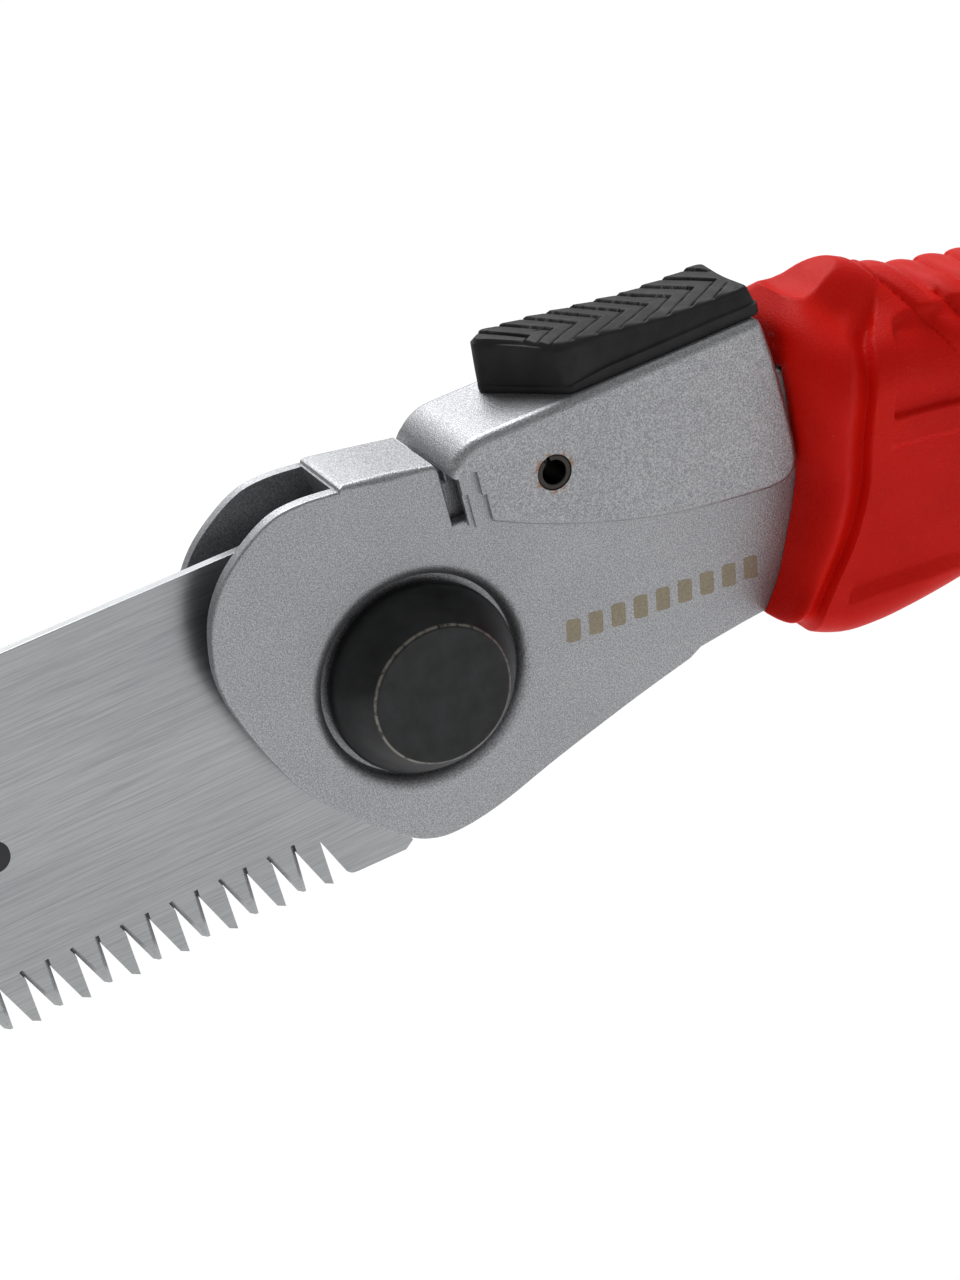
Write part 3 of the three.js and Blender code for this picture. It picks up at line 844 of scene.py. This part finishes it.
def make_lever():
    obj = slab("lever", lever_outline(), -LEVER_OUT, LEVER_OUT, lever_rim, 7)
    cut(obj, block(10.7, 60, -LEVER_IN, LEVER_IN, 0, LEVER_TOP - LEVER_PLATE))
    cut(obj, block(0, 10.9, -LEVER_IN, LEVER_IN, 0, 21))
    # Steps in the sides behind the front wall.
    for side in (-1, 1):
        y0, y1 = sorted((side * 6.75, side * 9))
        cut(obj, block(0, 11.35, y0, y1, 0, 21.5))
        cut(obj, block(11.3, 11.8, y0, y1, 14, 18.6))
        cut(obj, block(0, 9.9, *sorted((side * 6.4, side * 9)), 0, 19.2))
    finger = [
        (8.9, 22.4), (8.9, 19.9), (5, 18.9), (5, 14), (7.8, 12.75), (10.4, 10.75), (10.4, 23.6), (9.4, 23.6),
    ]
    add(obj, slab("tool", finger, -FINGER_HALF, FINGER_HALF, 0.1, 2))
    cut(obj, bar(PIN_R + 0.06, -THROUGH, THROUGH, PIN))
    finish_piece(obj, "lever", SILVER, "lever", ["lock_lever"])


def pad_top(x):
    """Height of the pad's top, high at the front."""
    return np.interp(x, [17, 20, 26, 33, 38, 44, 49], [31.4, 31.3, 30.6, 29.5, 28.8, 28.5, 28.4])


def pad_tread(x, y):
    """Height of the herringbone tread: overlapping ribs whose points face the handle."""
    from_apex = y - TREAD_APEX_Y
    far_arm, near_arm = TREAD_ARMS
    phase = ((x + np.where(from_apex > 0, far_arm, -near_arm) * from_apex - PAD_FRONT) / PAD_PITCH) % 1
    half, depth = TREAD_GROOVE
    groove = depth * np.exp(-(np.minimum(phase, 1 - phase) * PAD_PITCH / half) ** 2)
    shingle = TREAD_RISE * (1 - phase)
    border = smoothstep(-5.5, -4.9, y)
    middle = smoothstep(PAD_FRONT + 0.6, PAD_FRONT + 1.6, x) * (1 - smoothstep(46.9, 47.9, x))
    return (shingle - groove - 0.1) * border * middle


def make_pad():
    rear = PAD_REAR - 0.3
    plan = fillet([
        (PAD_FRONT, 3.6, 1.3), (24.4, -PAD_HALF, 1.6), (rear, -PAD_HALF, 0.7), (rear, PAD_FAR, 0.8),
        (PAD_FRONT + 2.4, PAD_FAR, 1.6),
    ])
    p = resample(plan, 0.24)
    spine = np.c_[np.clip(p[:, 0], 24, 43.5), np.full(len(p), -0.3)]
    reach = np.linalg.norm(p - spine, axis=1, keepdims=True)

    def ring(inset, z):
        q = spine + (p - spine) * (1 - np.reshape(inset, (-1, 1)) / reach)
        return np.c_[q, np.broadcast_to(z, len(q))]

    base = LEVER_TOP + 0.02
    flange = smoothstep(22, 30, p[:, 0])
    lip = base + 0.75 + 0.55 * flange
    neck = 0.05 + 0.3 * flange
    edge = 0.55  # radius of the edge round the tread
    rings = [
        ring(0.12, base), ring(0, base + 0.15), ring(0, lip), ring(0.12 + 0.1 * flange, lip + 0.08),
        ring(neck, lip + 0.18),
    ]
    top = pad_top(p[:, 0]) - edge
    for t in np.linspace(0.08, 1, 8):
        rings.append(ring(neck + 0.35 * t ** 1.3, lip + 0.18 + (top - lip - 0.18) * t))
    for a in np.linspace(0.15, 1, 6) * math.pi / 2:
        q = ring(0.7 + edge * (1 - math.cos(a)), 0)
        tread = pad_tread(q[:, 0], q[:, 1]) * smoothstep(0.3, 1, math.sin(a))
        q[:, 2] = pad_top(q[:, 0]) - edge + edge * math.sin(a) + tread
        rings.append(q)
    for share in np.linspace(0, 1, 30)[1:]:
        q = spine + (p - spine) * (1 - (0.7 + edge) / reach) * (1 - share * 0.999)
        z = pad_top(q[:, 0]) + pad_tread(q[:, 0], q[:, 1]) + 0.12 * share
        rings.append(np.c_[q, z])
    obj = loft("pad", rings)
    finish_piece(obj, "pad", RUBBER, "lever", ["thumb_pad"], angle=60, weighted=False)


def make_pin(side):
    """A rolled spring pin with its seam."""
    seam_start, seam_end = 118, 118 + 338
    outer = arc(PIN, PIN_R, seam_start, seam_end, 40)
    inner = arc(PIN, PIN_R - PIN_WALL, seam_end, seam_start, 40)
    y0, y1 = sorted((side * (LEVER_OUT - 0.05), side * 2.6))
    obj = slab("spring_pin", outer + inner, y0, y1, 0.16, 3)
    name = "near" if side < 0 else "far"
    finish_piece(obj, "spring_pin_" + name, PIN_BLACK, "lever", ["lever_pin_" + name])


# ---- the handle ----
def along(line, at):
    """Smooth second value of a line of pairs at places along its first."""
    return spline(line, np.ravel(at))[:, 0].reshape(np.shape(at))


def soft_min(a, b, k):
    """The smaller of two distances, blended over k where they are close."""
    h = np.clip(0.5 + 0.5 * (b - a) / k, 0, 1)
    return b + (a - b) * h - k * h * (1 - h)


def round_box(y, z, half, high, radius):
    """Distance from a rounded rectangle about the origin."""
    a = np.abs(y) - (half - radius)
    b = np.abs(z) - (high - radius)
    return np.hypot(np.maximum(a, 0), np.maximum(b, 0)) + np.minimum(np.maximum(a, b), 0) - radius


def relief(x, y, z, top, ridge):
    """How far the skin stands out of the plain section: bead, crease, panels and ribs."""
    aside = np.abs(y)
    crease = along(CREASE_LINE, z) + CREASE_SWEEP * smoothstep(10.5, 2, aside) * smoothstep(15, 19, z)
    behind = x - crease
    # The bead falls into the crease on the sides and fades out over the top.
    on_side = smoothstep(3, 9, aside) * smoothstep(-14.8, -12.5, z)
    bead = BEAD_HEIGHT - CREASE_DEPTH * smoothstep(-3.8, -0.1, behind) * on_side
    out = bead * (1 - smoothstep(-0.15, 0.3, behind))
    # Sunk panels above and below the side ridge.
    line = z - ridge
    below_top = 1 - smoothstep(top - 1.6, top - 0.4, z)
    above_bottom = smoothstep(-0.2, 1, z - (ridge - 18.5))
    upper = smoothstep(3, 3.45, behind) * smoothstep(1.55, 2.1, line) * below_top
    lower = smoothstep(2.9, 3.35, behind) * (1 - smoothstep(-2.1, -1.55, line)) * above_bottom
    far_end = 1 - smoothstep(PANEL_END - 4, PANEL_END + 4, x)
    out = out - PANEL_DEPTH * (upper + lower) * far_end * smoothstep(6.5, 8.5, aside)
    # Ribs over the top slant back on their way down.
    drop = top - z
    leaned = x - RIB_LEAN * drop
    phase = ((leaned - RIB_START) / RIB_PITCH) % 1
    rib = np.sqrt(np.clip(1 - (2 * phase - 1) ** 2, 0, 1)) - 0.4
    ends = smoothstep(RIB_START - 1, RIB_START + 1, leaned) * (1 - smoothstep(RIB_END - 2, RIB_END + 2, x))
    return out + RIB_HEIGHT * rib * ends * (1 - smoothstep(5.2, 6.6, drop))


def grip_gap(x, y, z):
    """Rough distance from the rubber's skin, negative inside."""
    bottom, top, half, corner, ridge = spline(HANDLE, x).T
    middle = (bottom + top) / 2
    radius = np.where(z > middle, corner, LOWER_CORNER)
    body = round_box(y, z - middle, half, (top - bottom) / 2, radius)
    crest = along(CREST, x)
    deep, nowhere = 10, 50
    hump = round_box(y, z - crest + deep, HUMP_HALF, deep, HUMP_HALF - 0.3)
    hump = np.where(x < HUMP_END, hump, nowhere)
    gap = soft_min(body, hump, HUMP_BLEND) - relief(x, y, z, top, ridge)
    dish = along(DISH_LINE, x) + DISH_FLARE * y ** 2
    cut_by_dish = np.where(x < DISH_END, z - dish, -nowhere)
    return -soft_min(-gap, -cut_by_dish, DISH_EDGE)


def grip_ring(ahead, share, around):
    """A ring of skin points at X = ahead(Z), found along rays, then narrowed to a share of its width."""
    angles = np.linspace(0, 2 * math.pi, around, endpoint=False)
    middles = [(x, (bottom + top) / 2) for x, bottom, top, *_ in HANDLE]
    start = float(along(middles, ahead(np.array([3.0])))[0])
    longest, halvings = 34.0, 22
    near, far = np.zeros(around), np.full(around, longest)
    for _ in range(halvings):
        r = (near + far) / 2
        y, z = r * np.cos(angles), start + r * np.sin(angles)
        inside = grip_gap(ahead(z), y, z) < 0
        near, far = np.where(inside, r, near), np.where(inside, far, r)
    return np.stack([ahead(z), y * share, z], -1)


def make_grip():
    """Rings that follow the front line, then the crease, then lie flat across the handle."""
    around = 400
    join = 68.5
    front = lambda z: along(FRONT_LINE, z)
    roll = lambda z: 1.2 + 1.8 * smoothstep(-11, -4, z) + 1.2 * smoothstep(8, 18, z)
    squareness = 2 / 2.7
    rings = []
    for a in np.linspace(0, math.pi / 2, 13):
        back = 1 - math.cos(a) ** squareness
        share = 0.42 + 0.58 * math.sin(a) ** squareness
        rings.append(grip_ring(lambda z: front(z) + roll(z) * back, share, around))
    crease = lambda z: along(CREASE_LINE, z)
    before, after, fine = -0.4, 4, 0.15
    for u in np.linspace(0, 1, 20)[1:]:
        bead = lambda z: (front(z) + roll(z)) * (1 - u) + (crease(z) + before) * u
        rings.append(grip_ring(bead, 1, around))
    for offset in np.arange(before + fine, after, fine):
        rings.append(grip_ring(lambda z: crease(z) + offset, 1, around))
    for u in np.linspace(0, 1, 26):
        rings.append(grip_ring(lambda z: (crease(z) + after) * (1 - u) + join * u, 1, around))
    for x in np.r_[np.arange(join + 0.35, 120, 0.42), np.arange(120, HANDLE_END, 1.2), HANDLE_END]:
        rings.append(grip_ring(lambda z: np.full(np.shape(z), float(x)), 1, around))
    obj = loft("grip", rings, across=True)
    # The slot for the folded blade has a sloping roof.
    slope, height, slot_start, slot_end = 0.3057, 26, 30, 222
    slot = [
        (slot_start, -120), (slot_end, -120), (slot_end, height - slope * slot_end),
        (slot_start, height - slope * slot_start),
    ]
    cut(obj, slab("tool", slot, -SLOT_HALF, SLOT_HALF, 0.01, 1))
    pocket = [
        (30, -11), (38.8, -11), (55, -9.8), (80, -10.6), (100.4, -15.4), (100.4, 5.4), (80, 11.4), (60, 16.6),
        (48.5, 17.8), (30, 21.4),
    ]
    cut(obj, slab("tool", pocket, -CHEEK_OUT - 0.12, CHEEK_OUT + 0.12, 0.01, 1))
    for at in SCREWS:
        cut(obj, bar(SCREW_HOLE_R, -20, -7, at), bar(SCREW_HOLE_R, 7, 20, at))
    replaced = ["grip_near", "grip_far"]
    finish_piece(obj, "grip", RED, "handle", replaced, angle=50, weighted=False)


def make_tail():
    """The cap at the end of the handle, squarer below than above."""
    around = 120
    angles = np.linspace(0, 2 * math.pi, around, endpoint=False)
    cos, sin = np.cos(angles), np.sin(angles)
    power = np.where(sin > 0, 2, 2.6)
    c = np.sign(cos) * np.abs(cos) ** (2 / power)
    v = np.sign(sin) * np.abs(sin) ** (2 / power)
    rings = []
    for x in np.linspace(TAIL[0][0], TAIL[-1][0], 30):
        bottom, top, half = spline(TAIL, x)[0]
        rings.append(np.c_[np.full(around, x), c * half, (bottom + top) / 2 + v * (top - bottom) / 2])
    obj = loft("tail", rings)
    cut(obj, bar(EYELET_HOLE_R, -20, 20, EYELET))
    cut(obj, bar(EYELET_SEAT_R, 9.4, 20, EYELET), bar(EYELET_SEAT_R, -20, -9.4, EYELET))
    finish_piece(obj, "tail", NYLON, "handle", ["tail_cap"], angle=40)


def dress_cad_nodes():
    """Materials for the CAD nodes that stay, and softened edges on the fasteners."""
    looks = {
        "core_near": NYLON, "core_far": NYLON, "pivot_bushing": BRONZE, "thrust_washer_near": BRONZE,
        "thrust_washer_far": BRONZE, "wave_washer": SPRING, "lock_spring": SPRING, "lanyard_eyelet": BRIGHT,
    }
    for i in (1, 2, 3):
        looks["handle_screw_%d" % i] = BRIGHT
        looks["sleeve_nut_%d" % i] = BRIGHT
    for name, look in looks.items():
        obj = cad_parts[name]
        obj.data.materials.clear()
        obj.data.materials.append(look)
        if look is BRIGHT:
            modifier = obj.modifiers.new("soft edges", "BEVEL")
            modifier.width = 0.15 * MM
            modifier.segments = 2
            modifier.limit_method = "ANGLE"
            modifier.angle_limit = math.radians(40)


# ---- studio ----
CAMERA_AZIMUTH, CAMERA_ELEVATION, CAMERA_ROLL = -19.19, 27.78, 15.06
CAMERA_DISTANCE = 350
CAMERA_ASIDE = (-8.43, 2.38)
SENSOR = 36
FOCAL = 88.77
FLOOR_DROP = 190
WORLD_STRENGTH = 0.33
SUN_STRENGTH = 2.25
SOFTBOX_POWER = 3.5


def make_camera():
    azimuth, elevation, roll = (math.radians(a) for a in (CAMERA_AZIMUTH, CAMERA_ELEVATION, CAMERA_ROLL))
    flat = math.cos(elevation)
    back = Vector((math.sin(azimuth) * flat, -math.cos(azimuth) * flat, math.sin(elevation)))
    forward = -back
    level = forward.cross(Vector((0, 0, 1))).normalized()
    down = forward.cross(level)
    right = level * math.cos(roll) + down * math.sin(roll)
    below = down * math.cos(roll) - level * math.sin(roll)
    spot = -(right * CAMERA_ASIDE[0] + below * CAMERA_ASIDE[1] + forward * CAMERA_DISTANCE)
    data = bpy.data.cameras.new("camera")
    data.sensor_width = SENSOR
    data.lens = FOCAL
    data.clip_start = 0.01
    data.clip_end = 50
    camera = bpy.data.objects.new("camera", data)
    turn = Matrix((right, -below, back)).transposed().to_4x4()
    camera.matrix_world = Matrix.Translation(spot * MM + MID) @ turn
    bpy.context.scene.collection.objects.link(camera)
    bpy.context.scene.camera = camera


def make_floor():
    low = cad_box[0][2] - FLOOR_DROP * MM
    size = 12
    corners = [(-size, -size, low), (size, -size, low), (size, size, low), (-size, size, low)]
    mesh = bpy.data.meshes.new("floor")
    mesh.from_pydata(corners, [], [(0, 1, 2, 3)])
    floor = bpy.data.objects.new("floor", mesh)
    bpy.context.scene.collection.objects.link(floor)
    look = Look("floor white", (0.97, 0.97, 0.97), 0, 0.9, Specular_IOR_Level=0.1)
    mesh.materials.append(look.material)


def area_light(name, spot, aim, size, power):
    data = bpy.data.lights.new(name, "AREA")
    data.shape = "RECTANGLE"
    data.size, data.size_y = size
    data.energy = power
    light = bpy.data.objects.new(name, data)
    light.location = spot
    light.rotation_euler = (Vector(aim) - Vector(spot)).to_track_quat("-Z", "Y").to_euler()
    bpy.context.scene.collection.objects.link(light)


def make_light():
    world = bpy.data.worlds.new("studio")
    bpy.context.scene.world = world
    world.use_nodes = True
    background = world.node_tree.nodes["Background"]
    background.inputs["Color"].default_value = (1, 1, 1, 1)
    background.inputs["Strength"].default_value = WORLD_STRENGTH
    data = bpy.data.lights.new("overhead", "SUN")
    data.energy = SUN_STRENGTH
    data.angle = math.radians(40)
    overhead = bpy.data.objects.new("overhead", data)
    overhead.rotation_euler = Vector((0.25, 0.62, 1)).to_track_quat("Z", "Y").to_euler()
    bpy.context.scene.collection.objects.link(overhead)
    area_light("back softbox", (0.1, 1.1, 0.75), (0, 0, 0), (1.2, 0.7), SOFTBOX_POWER)
    bpy.context.scene.view_settings.view_transform = "Standard"


STEEL = ground_steel()
SILVER = cast_silver()
OXIDE = black_oxide()
PIN_BLACK = plain_metal("dark spring pin", (0.06, 0.055, 0.05), 0.36)
BRIGHT = plain_metal("bright steel", (0.55, 0.56, 0.57), 0.28)
SPRING = plain_metal("spring steel", (0.3, 0.31, 0.32), 0.3)
BRONZE = plain_metal("bronze", (0.4, 0.22, 0.08), 0.38)
RUBBER = black_rubber()
NYLON = dark_nylon()
RED = red_rubber()
PRINT = mark("blade print", (0.012, 0.013, 0.018), 0.45, 0)
ETCH = mark("etched bars", (0.33, 0.29, 0.21), 0.5, 0.75)

make_blade()
make_blade_mark()
make_head()
make_etched_mark()
make_button()
make_pivot_nut()
make_lever()
make_pad()
for which in (-1, 1):
    make_pin(which)
make_grip()
make_tail()
dress_cad_nodes()
make_camera()
make_floor()
make_light()
